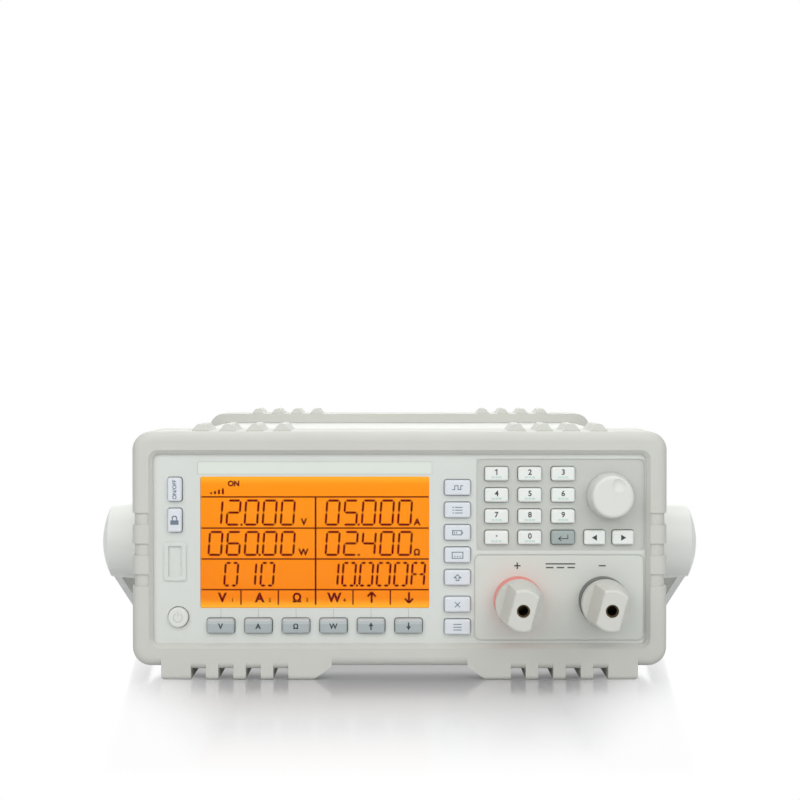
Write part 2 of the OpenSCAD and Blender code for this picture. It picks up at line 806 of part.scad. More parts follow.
module front_panel() {
    color(panel_grey) from_front() difference() {
        union() {
            slab(panel_y, panel_back) translate([0, case_mid]) rounded([case_w, case_h], case_r);
            slab(panel_back - eps, panel_back + skirt_l) translate([0, case_mid]) difference() {
                rounded([skirt_w, skirt_h], skirt_r);
                square([skirt_w - 2 * skirt_t, skirt_h - 2 * skirt_t], center = true);
            }
            for (b = BOSSES) slab(panel_back - eps, board_y) translate(b) circle(boss_r);
            slab(panel_y - port_proud, panel_y + eps) translate([left + left_x, up(port_z)])
                rounded([port_w, tall(port_h)], key_r);
        }
        slab(panel_y - port_proud - over, panel_y + port_floor)
            translate([left + left_x, up(port_z)])
                rounded([port_w - 2 * port_wall, tall(port_h) - 2 * port_wall], key_r / 2);
        slab(panel_y - over, field_face) field(keypad_field_w, keypad_field_z, keypad_field_top, 0);
        slab(panel_y - over, panel_y + line_w) difference() {
            field(input_field_w, input_field_z, input_field_top, 0);
            field(input_field_w, input_field_z, input_field_top, -line_w);
        }
        slab(panel_y - over, panel_y + strip_d) translate([lcd_x, strip_z])
            square([lcd_w + 2 * strip_over, tall(strip_h)], center = true);
        slab(panel_y - over, panel_back + over) {
            translate([lcd_x, lcd_mid])
                rounded([lcd_w + 2 * window_gap, lcd_tall + 2 * window_gap], lcd_r + window_gap);
            for (k = KEYS) translate([k[1], k[2]]) key_outline(k[3], key_gap);
            translate(knob_mid) circle(d = bushing_d + 2 * case_fit);
            for (p = POSTS) translate(p) circle(d = neck_d + 2 * case_fit);
        }
    }
}

// A key: rounded cap, ledge behind the panel and a stem towards its switch
module key(k) {
    size = k[3];
    ledge_y = panel_back + case_fit;
    round_cap = !is_list(size);
    box = round_cap ? [size, size] : size;
    long = 2 * (key_proud + panel_t + key_ledge_t);
    cap_y = (is_number_field(k) ? field_face : panel_y) - key_proud;
    color(k[4]) from_front() translate([k[1], 0, k[2]]) {
        if (round_cap) {
            translate([0, cap_y, 0]) rotate([-90, 0, 0]) rotate_extrude()
                intersection() {
                    translate([0, long / 2]) rounded([size, long], key_edge_r);
                    square([size, ledge_y + key_ledge_t - cap_y]);
                }
        } else intersection() {
            slab(cap_y, ledge_y + key_ledge_t) rounded(box, key_r);
            translate([0, cap_y + long / 2, -box[1]]) linear_extrude(2 * box[1])
                rounded([box[0] + eps, long], key_edge_r);
            translate([0, cap_y + long / 2, 0]) side_slab(-box[0], box[0])
                rounded([long, box[1] + eps], key_edge_r);
        }
        slab(ledge_y, ledge_y + key_ledge_t) key_outline(size, key_ledge);
        bar(ledge_y, stem_end, stem_d);
    }
}

// Does a key stand in the recessed keypad field?
function is_number_field(k) = k[1] > right - keypad_field_w;

module display_window() {
    color([0.95, 0.62, 0.2, 0.6]) from_front() translate([lcd_x, 0, lcd_mid]) {
        slab(panel_y + strip_d, window_back) rounded([lcd_w, lcd_tall], lcd_r);
        slab(panel_back, window_back) rounded([lcd_w + 2 * lcd_ledge, lcd_tall + 2 * lcd_ledge], lcd_r);
    }
}

module display_module() {
    glass_t = 2;
    color([0.98, 0.56, 0.06]) from_front() translate([lcd_x, 0, lcd_mid]) {
        slab(window_back + display_gap, board_y) square([lcd_w, lcd_tall], center = true);
        slab(window_back + glass_t, board_y)
            rounded([lcd_w + 2 * lcd_ledge, lcd_tall + 2 * lcd_ledge], lcd_r);
    }
}

module keypad_board() {
    color([0.1, 0.36, 0.22]) from_front() {
        slab(board_y, board_y + board_t) difference() {
            translate([0, case_mid]) square([board_w, board_h], center = true);
            for (p = POSTS) translate(p) circle(d = nut_d + 2 * over);
        }
        for (k = KEYS) translate([k[1], 0, k[2]]) {
            slab(switch_y, board_y - solder) square(switch_s, center = true);
            bar(switch_y - plunger_h, switch_y, plunger_d);
        }
        translate([knob_mid[0], 0, knob_mid[1]]) difference() {
            union() {
                slab(encoder_y, board_y - solder) square(encoder_s, center = true);
                bar(field_face, encoder_y, bushing_d);
            }
            bar(field_face - over, encoder_y + shaft_in, shaft_d + 2 * run_fit);
        }
    }
}

module encoder_knob() {
    face = knob_face_d / 2;
    edge = 1.6;
    skirt = 1.6;
    dimple_r = 5;
    dimple_d = 1;
    dimple_at = [2.5, 5.1];
    bore_l = knob_h - 2.5;
    color([0.86, 0.87, 0.85]) from_front() translate([knob_mid[0], field_face, knob_mid[1]]) {
        difference() {
            rotate([90, 0, 0]) rotate_extrude() {
                polygon([[0, knob_gap], [knob_d / 2, knob_gap], [knob_d / 2, knob_gap + skirt],
                         [face, knob_h - edge], [face - edge, knob_h], [0, knob_h]]);
                translate([face - edge, knob_h - edge]) circle(edge);
            }
            bar(-bore_l, 0, shaft_d + 2 * run_fit);
            translate([dimple_at[0], -knob_h - dimple_r + dimple_d, dimple_at[1]]) sphere(dimple_r);
        }
        bar(-bore_l + run_fit, encoder_y + shaft_in - case_fit - field_face, shaft_d);
    }
}

// The insulating base of one binding post
module post_base(p) {
    edge = 0.8;
    from_front() translate([p[0], panel_y, p[1]]) difference() {
        rotate([90, 0, 0]) rotate_extrude()
            polygon([[0, -neck_l], [neck_d / 2, -neck_l], [neck_d / 2, 0], [base_d / 2, 0],
                     [base_d / 2, base_h - edge], [base_d / 2 - edge, base_h], [0, base_h]]);
        bar(-base_h - over, neck_l + over, stud_d + 2 * run_fit);
    }
}

module post_base_positive() {
    color([0.78, 0.1, 0.13]) post_base(POSTS[0]);
}

module post_base_negative() {
    color([0.1, 0.1, 0.1]) post_base(POSTS[1]);
}

// Brass studs with their nuts behind the panel; the socket opens at the front
module post_studs() {
    nut_y = panel_y + neck_l;
    color([0.8, 0.64, 0.3]) from_front() for (p = POSTS) translate([p[0], 0, p[1]]) difference() {
        union() {
            bar(stud_front, nut_y + nut_t + stud_tail, stud_d);
            slab(nut_y, nut_y + nut_t) circle(d = nut_d, $fn = 6);
        }
        bar(stud_front - over, stud_front + socket_l, socket_d);
    }
}

// The threaded brass insert inside one cap
module post_insert(p) {
    color([0.8, 0.64, 0.3]) from_front() translate([p[0], 0, p[1]]) difference() {
        bar(cap_back - insert_l, cap_back, insert_d);
        bar(cap_back - insert_l - over, cap_back + over, stud_d + 2 * run_fit);
    }
}

module post_insert_positive() {
    post_insert(POSTS[0]);
}

module post_insert_negative() {
    post_insert(POSTS[1]);
}

// One cap: a round collar that runs out into a flat grip bar
module post_cap(p) {
    edge = 1.2;
    bar_edge = 0.5;
    r = cap_d / 2;
    face_r = cap_face_d / 2;
    color([0.82, 0.83, 0.8]) from_front() translate([p[0], cap_back, p[1]]) difference() {
        rotate([90, 0, 0]) rotate_extrude() {
            polygon([[0, 0], [r - edge / 2, 0], [r, edge / 2], [r, collar_l - edge],
                     [face_r, cap_l - edge], [face_r - edge, cap_l], [0, cap_l]]);
            translate([face_r - edge, cap_l - edge]) circle(edge);
        }
        rotate([0, bar_turn, 0]) for (s = [0, 1]) mirror([s, 0, 0])
            translate([0, 0, -cap_d]) linear_extrude(2 * cap_d)
                polygon([[bar_w / 2, -cap_l - over], [cap_d, -cap_l - over], [cap_d, -collar_l],
                         [bar_root_w / 2, -collar_l], [bar_w / 2 + bar_edge, -cap_l + bar_edge],
                         [bar_w / 2, -cap_l]]);
        bar(-cap_l - over, over, cap_hole_d);
        bar(-cap_l + cap_wall, over, stud_d + 2 * stud_gap);
        bar(-insert_l, over, insert_d + 2 * run_fit);
    }
}

module post_cap_positive() {
    post_cap(POSTS[0]);
}

module post_cap_negative() {
    post_cap(POSTS[1]);
}

// Places children at the handle's pivot on the right and mirrored on the left
module both_pivots() {
    from_front() for (s = [0, 1]) mirror([s, 0, 0]) translate([0, pivot[0], pivot[1]]) children();
}

// A round bar along X
module cross_bar(x0, x1, d) {
    translate([x0, 0, 0]) rotate([0, 90, 0]) cylinder(d = d, h = x1 - x0);
}

module handle_hubs() {
    color([0.35, 0.36, 0.36]) both_pivots() difference() {
        union() {
            cross_bar(hub_x, hub_x + hub_flange_t, hub_flange_d);
            cross_bar(hub_x, hub_end, hub_d);
        }
        cross_bar(hub_x - over, hub_end + over, pivot_screw_d + 2 * screw_fit);
        cross_bar(hub_end - pivot_head_h, hub_end + over, pivot_head_d + 2 * screw_fit);
    }
}

// Direction from the pivot's middle to where the arm's edge leaves a circle of radius r there,
// for a circle of radius end_r at p; side is 1 for the upper edge and -1 for the lower one
function edge_angle(p, r, end_r, side) = atan2(p[1], p[0]) + side * acos((r - end_r) / norm(p));

// The arm's outline beside the pivot: drum, a lower edge bent once and a flat end at the grip
module arm_outline() {
    r = drum_end_r - over;
    end_r = grip_t / 2;
    drop = grip_mid[1] - pivot[1];
    near = [grip_run - grip_w / 2 + end_r, drop];
    far = [grip_run + grip_w / 2 - end_r, drop];
    elbow = [elbow_run, -elbow_drop];
    low = edge_angle(elbow, r, 0, -1);
    under = edge_angle(elbow - near, end_r, 0, 1);
    high = edge_angle(far, r, end_r, 1);
    // the straight edges end just inside the round ends
    tuck = end_r - 0.02;
    polygon([r * [cos(low), sin(low)], elbow, near + tuck * [cos(under), sin(under)],
             near - [0, end_r], far - [0, end_r], far, far + tuck * [cos(high), sin(high)],
             r * [cos(high), sin(high)]]);
    circle(r);
    translate(near) circle(end_r);
    translate(far) circle(end_r);
}

// Half section of the drum: a tapered barrel with a domed end
module drum_section() {
    taper = (drum_d / 2 - drum_end_r) / (arm_out - drum_x);
    past = 2 * dome_h;
    intersection() {
        polygon([[0, drum_x], [drum_d / 2, drum_x], [drum_end_r - taper * past, arm_out + past],
                 [0, arm_out + past]]);
        translate([0, arm_out + dome_h - dome_r]) circle(dome_r);
    }
}

module handle_arms() {
    color(arm_grey) both_pivots() difference() {
        union() {
            rotate([0, 90, 0]) rotate_extrude() drum_section();
            side_slab(arm_in, arm_face) arm_outline();
        }
        cross_bar(drum_x - over, hub_end + case_fit * 2, hub_d + 2 * run_fit);
    }
}

module handle_grip() {
    color([0.3, 0.31, 0.31]) from_front() translate([0, grip_mid[0], grip_mid[1]])
        side_slab(-arm_in, arm_in) stadium(grip_w, grip_t);
}

// Outline of the openings punched in the rear panel in front of the fan
module grille_outline() {
    pitch = (fan_r - fan_hub_d / 2) / grille_rings;
    difference() {
        for (i = [0 : grille_rings - 1]) difference() {
            circle(fan_r - i * pitch);
            circle(fan_r - i * pitch - pitch + grille_bar);
        }
        for (a = [45, 135]) rotate(a) square([2 * fan_s, 2 * grille_bar], center = true);
    }
}

// The four fan screw places
module fan_holes(d) {
    for (x = [-1, 1], z = [-1, 1])
        translate(fan_mid + fan_hole * [x, z]) circle(d = d);
}

module rear_panel() {
    color(case_white) from_front() slab(rear_in, rear_y) difference() {
        translate([0, case_mid]) rounded([case_w, case_h], case_r);
        translate(fan_mid) grille_outline();
        fan_holes(screw_d + 2 * screw_fit);
        translate(inlet) square(inlet_body + [2, 2] * case_fit, center = true);
        translate(serial) square([serial_w, serial_h] + [2, 2] * case_fit, center = true);
        translate(sense) square(sense_size + [2, 2] * case_fit, center = true);
    }
}

module fan_frame() {
    strut = 3;
    color([0.12, 0.12, 0.13]) from_front() {
        slab(fan_y, rear_in) difference() {
            translate(fan_mid) rounded([fan_s, fan_s], fan_wall);
            translate(fan_mid) circle(fan_r);
            fan_holes(screw_d + 2 * screw_fit);
        }
        slab(fan_y, fan_y + strut) translate(fan_mid) {
            circle(d = fan_hub_d);
            for (a = [0, 90]) rotate(a) square([2 * fan_r + over, strut], center = true);
        }
        translate([fan_mid[0], 0, fan_mid[1]]) bar(fan_y, rotor_end - rotor_wall - case_fit, fan_pin_d);
    }
}

module fan_rotor() {
    hub_l = rotor_end - rotor_y;
    blade_t = 1.6;
    tilt = 38;
    tip = fan_r - fan_tip;
    color([0.16, 0.16, 0.17]) from_front() translate([fan_mid[0], rotor_y, fan_mid[1]]) difference() {
        union() {
            bar(0, hub_l, fan_hub_d);
            intersection() {
                bar(0, hub_l, 2 * tip);
                for (i = [0 : blades - 1]) rotate([0, i * 360 / blades, 0])
                    translate([fan_hub_d / 2 - over, hub_l / 2, 0]) rotate([tilt, 0, 0])
                        translate([0, -hub_l, -blade_t / 2]) cube([fan_r, 2 * hub_l, blade_t]);
            }
        }
        bar(-over, hub_l - rotor_wall, fan_pin_d + 2 * run_fit);
    }
}

module mains_inlet() {
    across = 7;
    rise = 2;
    pins = [[-across, -rise], [across, -rise], [0, rise]];
    pin = [2, 4];
    color([0.1, 0.1, 0.1]) from_front() translate([inlet[0], 0, inlet[1]]) {
        difference() {
            union() {
                slab(rear_y - inlet_l, rear_y + inlet_flange_t) square(inlet_body, center = true);
                slab(rear_y, rear_y + inlet_flange_t) rounded(inlet_flange, inlet_r);
            }
            slab(rear_y + inlet_flange_t - cavity_l, rear_y + inlet_flange_t + over)
                translate([cavity_x, 0]) rounded(cavity, cavity_r);
            slab(rear_y + inlet_flange_t - drawer_l - case_fit, rear_y + inlet_flange_t + over)
                translate([drawer_x, 0]) square(drawer + [2, 2] * case_fit, center = true);
        }
        slab(rear_y + inlet_flange_t - cavity_l - eps, rear_y + inlet_flange_t - cavity_l + pin_l)
            for (p = pins) translate([cavity_x, 0] + p) square(pin, center = true);
    }
}

module fuse_drawer() {
    face_y = rear_y + inlet_flange_t;
    pull = [8, 3];
    fuse_d = 5.4;
    color([0.14, 0.14, 0.14]) from_front() translate([inlet[0] + drawer_x, 0, inlet[1]]) difference() {
        slab(face_y - drawer_l, face_y) square(drawer, center = true);
        slab(face_y - drawer_face_t / 2, face_y + over)
            translate([0, drawer[1] / 4]) square(pull, center = true);
        slab(face_y - drawer_l + drawer_face_t, face_y - drawer_face_t)
            translate([drawer[0] / 2, 0]) square([fuse_d, drawer[1] - 2 * drawer_face_t], center = true);
    }
}

// The D-shaped outline of the serial port's shell
module serial_outline() {
    edge = 1;
    slant = 1.8;
    top = serial_w / 2 - edge;
    half = serial_h / 2 - edge;
    polygon([[-top, half], [top, half], [top - slant, -half], [slant - top, -half]]);
}

module serial_port() {
    shell_l = 6;
    body_l = 10;
    plate_t = 1;
    nut_x = 12.5;
    nut = 5.5;
    way_pitch = 2.76;
    way_d = 1.2;
    way_l = 4;
    color([0.6, 0.61, 0.62]) from_front() translate([serial[0], 0, serial[1]]) difference() {
        union() {
            slab(rear_y, rear_y + plate_t) square(serial_plate, center = true);
            slab(rear_in - body_l, rear_y + plate_t) square([serial_w, serial_h], center = true);
            slab(rear_y, rear_y + shell_l) {
                serial_outline();
                for (x = [-nut_x, nut_x]) translate([x, 0]) circle(d = nut, $fn = 6);
            }
        }
        for (row = [0, 1], i = [0 : 4 - row])
            translate([(i - 2 + row / 2) * way_pitch, 0, (0.5 - row) * way_pitch])
                bar(rear_y + shell_l - way_l, rear_y + shell_l + over, way_d);
    }
}

module sense_terminals() {
    proud = 8;
    body_l = 8;
    ways = 4;
    pitch = sense_size[0] / ways;
    wire_d = 3;
    wire_l = 5;
    wire_z = -2;
    screw_well = 2;
    color([0.16, 0.42, 0.24]) from_front() translate([sense[0], 0, sense[1]]) difference() {
        slab(rear_in - body_l, rear_y + proud) square(sense_size, center = true);
        for (i = [0 : ways - 1]) translate([(i - (ways - 1) / 2) * pitch, 0, 0]) {
            translate([0, 0, wire_z]) bar(rear_y + proud - wire_l, rear_y + proud + over, wire_d);
            translate([0, rear_y + proud / 2, sense_size[1] / 2 - screw_well])
                cylinder(d = screw_d, h = screw_well + over);
        }
    }
}

module heat_sink() {
    inside = sink_w - sink_wall_t;
    color([0.7, 0.71, 0.72]) from_front() slab(sink_y, sink_y + sink_l)
        translate([fan_mid[0] - sink_w / 2, tray_top]) {
            square([sink_w, sink_base_t]);
            square([sink_wall_t, sink_top - tray_top]);
            for (i = [1 : fins - 1]) translate([sink_wall_t + i * inside / (fins - 1) - fin_t, 0])
                square([fin_t, sink_top - tray_top]);
        }
}

module power_transistors() {
    pitch = sink_l / transistors;
    first_y = sink_y + (pitch - transistor[1]) / 2;
    color([0.08, 0.08, 0.08]) from_front() for (i = [0 : transistors - 1])
        translate([fan_mid[0] - sink_w / 2 - transistor[0], first_y + i * pitch, case_mid])
            cube(transistor);
}

module main_board() {
    z = tray_top + board_stand;
    top = z + board_t + solder;
    coil = [46, 40, 38];
    can_d = 25;
    can_h = 36;
    can_pitch = 32.5;
    color([0.1, 0.36, 0.22]) from_front() translate([main_x, main_y, 0]) {
        translate([-main_w / 2, 0, z]) cube([main_w, main_l, board_t]);
        for (x = [stand_d - main_w / 2, main_w / 2 - stand_d], y = [stand_d, main_l - stand_d])
            translate([x, y, tray_top]) cylinder(d = stand_d, h = board_stand - solder);
        translate([-main_w / 2 + stand_d, main_l - 2 * stand_d - coil[1], top]) cube(coil);
        for (i = [0 : 2]) translate([main_w / 4, main_l / 4 + i * can_pitch, top])
            cylinder(d = can_d, h = can_h);
    }
}

// A pan-head screw along +X, with its head from x = 0 outwards and a cross in the head
module screw(shank_d, shank_l, head_d, head_h) {
    crown_d = 0.7 * head_d;
    slot = [0.55 * head_d, 0.14 * head_d, head_h];
    translate([-shank_l, 0, 0]) rotate([0, 90, 0]) cylinder(d = shank_d, h = shank_l + eps);
    rotate([0, 90, 0]) difference() {
        union() {
            cylinder(d = head_d, h = head_h / 2);
            translate([0, 0, head_h / 2]) cylinder(d1 = head_d, d2 = crown_d, h = head_h / 2);
        }
        translate([0, 0, head_h]) for (a = [0, 90]) rotate(a) cube(slot, center = true);
    }
}

module case_screws() {
    bite = 4;
    shank = 2 * sheet_t + bite;
    pivot_shank = hub_l + hub_flange_t - pivot_head_h + shank;
    color([0.62, 0.62, 0.63]) {
        from_front() for (s = [0, 1], y = SIDE_SCREWS) mirror([s, 0, 0])
            translate([case_w / 2, y, side_screw_z]) screw(screw_d, shank, screw_head_d, screw_head_h);
        both_pivots() translate([hub_end - pivot_head_h, 0, 0])
            screw(pivot_screw_d, pivot_shank, pivot_head_d, pivot_head_h);
        from_front() for (x = [-1, 1], z = [-1, 1])
            translate([fan_mid[0] + x * fan_hole, rear_y, fan_mid[1] + z * fan_hole])
                rotate([0, 0, 90]) screw(screw_d, rear_t + fan_l / 2, screw_head_d, screw_head_h);
    }
}

front_bumper();
rear_bumper();
chassis_tray();
top_cover();
front_panel();
rear_panel();
display_window();
display_module();
keypad_board();
encoder_knob();
post_base_positive();
post_base_negative();
post_studs();
post_insert_positive();
post_insert_negative();
post_cap_positive();
post_cap_negative();
handle_hubs();
handle_arms();
handle_grip();
fan_frame();
fan_rotor();
mains_inlet();
fuse_drawer();
serial_port();
sense_terminals();
heat_sink();
power_transistors();
main_board();
case_screws();
for (k = KEYS) key(k);
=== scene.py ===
import math

import bmesh
import bpy
from mathutils import Matrix, Vector


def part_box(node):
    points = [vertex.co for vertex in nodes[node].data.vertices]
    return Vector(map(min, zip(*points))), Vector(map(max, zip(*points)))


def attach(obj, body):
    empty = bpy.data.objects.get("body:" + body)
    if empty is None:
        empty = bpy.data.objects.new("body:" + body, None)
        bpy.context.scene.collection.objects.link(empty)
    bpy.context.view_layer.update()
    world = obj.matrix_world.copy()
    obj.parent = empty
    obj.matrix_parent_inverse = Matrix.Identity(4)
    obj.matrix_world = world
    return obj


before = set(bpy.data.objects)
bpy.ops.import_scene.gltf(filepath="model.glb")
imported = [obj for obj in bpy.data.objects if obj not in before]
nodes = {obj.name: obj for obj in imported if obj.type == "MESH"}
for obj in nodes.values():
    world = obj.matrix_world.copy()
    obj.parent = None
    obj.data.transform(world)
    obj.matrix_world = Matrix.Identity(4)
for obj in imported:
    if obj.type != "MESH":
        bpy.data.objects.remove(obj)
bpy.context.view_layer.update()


# Case: a tray, a cover and a rear panel, folded and punched from thin steel sheet.
# They are powder coated in pale grey with a fine orange-peel texture, and screwed together.
mm = 0.001


def srgb(red, green, blue):
    """A colour as seen on a screen, from 0 to 255, as the linear numbers that shaders take."""
    return [((c / 255 + 0.055) / 1.055) ** 2.4 for c in (red, green, blue)] + [1.0]


def shifted(colour, factor):
    """A colour made lighter or darker by a factor."""
    return [min(c * factor, 1.0) for c in colour[:3]] + [1.0]


def new_material(name):
    """A new material, with its node tree and its shader."""
    material = bpy.data.materials.new(name)
    material.use_nodes = True
    return material, material.node_tree, material.node_tree.nodes["Principled BSDF"]


def fill(tree, node, values):
    """Gives a node's inputs plain values, or links them to the results of other nodes."""
    for name, value in values.items():
        if isinstance(value, bpy.types.NodeSocket):
            tree.links.new(value, node.inputs[name])
        else:
            node.inputs[name].default_value = value


def noise(tree, size, detail):
    """Noise on the piece's own coordinates, with lumps about that many metres across."""
    place = tree.nodes.new("ShaderNodeTexCoord")
    texture = tree.nodes.new("ShaderNodeTexNoise")
    fill(tree, texture, {"Vector": place.outputs["Object"], "Scale": 1 / size, "Detail": detail})
    return texture.outputs["Fac"]


def mapped(tree, value, start, end, low, high, kind="LINEAR"):
    """A value that runs from start to end, drawn out to the range from low to high."""
    node = tree.nodes.new("ShaderNodeMapRange")
    node.interpolation_type = kind
    fill(tree, node, {"Value": value, "From Min": start, "From Max": end, "To Min": low, "To Max": high})
    return node.outputs["Result"]


def spread(tree, value, low, high):
    """Noise gathers about a half, so its middle stretch is drawn out to the range from low to high."""
    return mapped(tree, value, 0.3, 0.7, low, high)


def between(tree, factor, first, second):
    """A mix of two colours, or of the results of two colour nodes."""
    node = tree.nodes.new("ShaderNodeMix")
    node.data_type = "RGBA"
    ends = [index for index, socket in enumerate(node.inputs) if socket.type == "RGBA"]
    fill(tree, node, {"Factor": factor, ends[0]: first, ends[1]: second})
    return [socket for socket in node.outputs if socket.type == "RGBA"][0]


def grained(name, colour, roughness, grain, depth, mottle=0.03, metallic=0.0):
    """A finish with fine grain of that size and depth, faint clouds of shade and uneven gloss."""
    cloud_size = 45 * mm
    gloss_patch = 9 * mm
    gloss_swing = 0.06
    fleck_share = 0.35
    material, tree, shader = new_material(name)
    clouds = spread(tree, noise(tree, cloud_size, 4.0), 0.0, 1.0)
    tone = between(tree, clouds, shifted(colour, 1 - mottle), shifted(colour, 1 + mottle))
    specks = noise(tree, grain, 3.0)
    flecks = spread(tree, specks, 0.0, fleck_share)
    tone = between(tree, flecks, tone, shifted(colour, 1 - 2 * mottle))
    gloss = spread(tree, noise(tree, gloss_patch, 3.0), roughness - gloss_swing, roughness + gloss_swing)
    bump = tree.nodes.new("ShaderNodeBump")
    fill(tree, bump, {"Distance": depth, "Strength": 0.6, "Height": specks})
    fill(tree, shader, {"Base Color": tone, "Roughness": gloss, "Metallic": metallic,
                        "Normal": bump.outputs["Normal"]})
    return material


def dress(material, *names):
    """Gives CAD nodes their finish."""
    for name in names:
        slots = nodes[name].data.materials
        slots.clear()
        slots.append(material)


case_paint = grained("case_paint", srgb(227, 229, 224), roughness=0.6, grain=0.5 * mm, depth=0.03 * mm)
case_paint.node_tree.nodes["Principled BSDF"].inputs["Specular IOR Level"].default_value = 0.25
dress(case_paint, "chassis_tray", "top_cover", "rear_panel")


# Inside the case: glass-fibre boards, an extruded aluminium heat sink and moulded transistors.
# They are screwed to the tray, and show only through the vents and the grille.
board_mask = grained("board_mask", srgb(38, 92, 60), roughness=0.35, grain=1.5 * mm, depth=0.02 * mm,
                     mottle=0.1)
dress(board_mask, "main_board", "keypad_board")
sink_metal = grained("sink_metal", srgb(205, 206, 208), roughness=0.35, grain=0.3 * mm, depth=0.01 * mm,
                     mottle=0.04, metallic=1.0)
dress(sink_metal, "heat_sink")
moulded_black = grained("moulded_black", srgb(38, 38, 40), roughness=0.45, grain=0.35 * mm,
                        depth=0.02 * mm, mottle=0.15)
dress(moulded_black, "power_transistors", "fan_frame", "fan_rotor")


# Rear fittings: mains inlet with its fuse drawer, serial port and sense terminals.
# They are moulded and stamped, and snap or screw into the rear panel from outside.
def piece(name, bm, material, body):
    """Makes an object of a bmesh that rides on a body and takes its finish from a slot."""
    bmesh.ops.recalc_face_normals(bm, faces=bm.faces)
    mesh = bpy.data.meshes.new(name)
    bm.to_mesh(mesh)
    bm.free()
    mesh.materials.append(material)
    made = bpy.data.objects.new(name, mesh)
    bpy.context.scene.collection.objects.link(made)
    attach(made, body)


def block(bm, middle, size, rounding=0.0):
    """A box about a point, with its edges rounded."""
    place = Matrix.Translation(middle) @ Matrix.Diagonal((*size, 1))
    corners = bmesh.ops.create_cube(bm, size=1, matrix=place)["verts"]
    if rounding:
        edges = {edge for corner in corners for edge in corner.link_edges}
        bmesh.ops.bevel(bm, geom=list(edges), affect="EDGES", offset=rounding, segments=2,
                        profile=0.5, material=-1)


dress(moulded_black, "mains_inlet", "fuse_drawer")
plated_steel = grained("plated_steel", srgb(190, 191, 190), roughness=0.3, grain=0.25 * mm,
                       depth=0.008 * mm, mottle=0.06, metallic=1.0)
dress(plated_steel, "serial_port", "case_screws")
terminal_green = grained("terminal_green", srgb(62, 128, 84), roughness=0.4, grain=0.4 * mm,
                         depth=0.015 * mm, mottle=0.06)
dress(terminal_green, "sense_terminals")

inlet_low, inlet_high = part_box("mains_inlet")
inlet_mid = (inlet_low + inlet_high) / 2
socket_shift = -9 * mm
pin_size = (2.1 * mm, 9 * mm, 4.1 * mm)
pin_rounding = 0.4 * mm
pin_tip = inlet_high.y - 6.9 * mm
pins = bmesh.new()
for across, up in ((-7 * mm, -2 * mm), (7 * mm, -2 * mm), (0, 2 * mm)):
    pin_mid = Vector((inlet_mid.x + socket_shift + across, pin_tip - pin_size[1] / 2, inlet_mid.z + up))
    block(pins, pin_mid, pin_size, pin_rounding)
piece("inlet_pins", pins, plated_steel, "case")


# Front panel: one ABS moulding with a fine spark-eroded grain, clipped into the front of the case.
# Its two right-hand fields are printed a little darker, with painted shade added to the keypad field and
# painted light to the input field, and the plate above the display is bare.
def maths(tree, operation, *values):
    """One step of arithmetic in a material, on plain numbers or the results of other nodes."""
    node = tree.nodes.new("ShaderNodeMath")
    node.operation = operation
    fill(tree, node, dict(enumerate(values)))
    return node.outputs[0]


def own_axes(tree):
    """A piece's own x, y and z in its material."""
    place = tree.nodes.new("ShaderNodeTexCoord")
    axes = tree.nodes.new("ShaderNodeSeparateXYZ")
    tree.links.new(place.outputs["Object"], axes.inputs["Vector"])
    return axes.outputs


def repaint(material, low, high, colour):
    """Paints the stretch of a surface between two (x, z) corners in another colour."""
    tree = material.node_tree
    target = tree.nodes["Principled BSDF"].inputs["Base Color"]
    base = target.links[0].from_socket
    axes = own_axes(tree)
    masks = [maths(tree, "COMPARE", axes[axis], (first + last) / 2, (last - first) / 2)
             for axis, first, last in zip("XZ", low, high)]
    tree.links.new(between(tree, maths(tree, "MULTIPLY", *masks), base, colour), target)


front_lip = 3.2 * mm
panel_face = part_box("front_bumper")[0].y + front_lip
panel_low, panel_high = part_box("front_panel")
field_edge = panel_high.x - 1.5 * mm
keypad_low = (panel_high.x - 73.9 * mm, panel_low.z + 42.4 * mm)
keypad_high = (field_edge, panel_low.z + 81.9 * mm)
input_low = (panel_high.x - 75 * mm, panel_low.z + 3.4 * mm)
input_high = (field_edge, panel_low.z + 40.8 * mm)
panel_plastic = grained("panel_plastic", srgb(216, 220, 215), roughness=0.45, grain=0.3 * mm,
                        depth=0.02 * mm, mottle=0.02)
# The keypad field: a darker print, made darker still by painted shade from the knob and keys around it.
repaint(panel_plastic, keypad_low, keypad_high, srgb(197, 200, 194))
# The input field: a darker print, lifted a little by painted light against the shadows of the posts.
repaint(panel_plastic, input_low, input_high, srgb(214, 218, 211))
dress(panel_plastic, "front_panel")

window_low, window_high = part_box("display_window")
window_ledge = 1.8 * mm
lcd_left = window_low.x + window_ledge
lcd_right = window_high.x - window_ledge
lcd_foot = window_low.z + window_ledge
lcd_top = window_high.z - window_ledge
strip_size = (lcd_right - lcd_left + 2.4 * mm, 0.27 * mm, 5.2 * mm)
strip_y = panel_face + 0.165 * mm
strip_z = lcd_top + 3.8 * mm
strip_rounding = 0.1 * mm
strip = bmesh.new()
block(strip, Vector(((lcd_left + lcd_right) / 2, strip_y, strip_z)), strip_size, strip_rounding)
strip_print = grained("strip_print", srgb(222, 230, 221), roughness=0.35, grain=0.4 * mm,
                      depth=0.005 * mm, mottle=0.015)
piece("bare_strip", strip, strip_print, "case")


# Display: a liquid-crystal module with an orange backlight, lit from its edges, behind a clear window.
# Its dark red segments, rules and unit signs lie on the glass of the module, behind the window.
print_t = 0.06 * mm


def thicken(bm, flat, thick):
    """Gives flat faces their thickness, towards the front."""
    raised = bmesh.ops.extrude_face_region(bm, geom=flat)["geom"]
    fronts = [item for item in raised if isinstance(item, bmesh.types.BMVert)]
    bmesh.ops.translate(bm, vec=(0, -thick, 0), verts=fronts)


def plate(bm, outline, face, thick=print_t):
    """A flat printed shape on a face, with its corners at those (x, z) places."""
    thicken(bm, [bm.faces.new([bm.verts.new((x, face, z)) for x, z in outline])], thick)


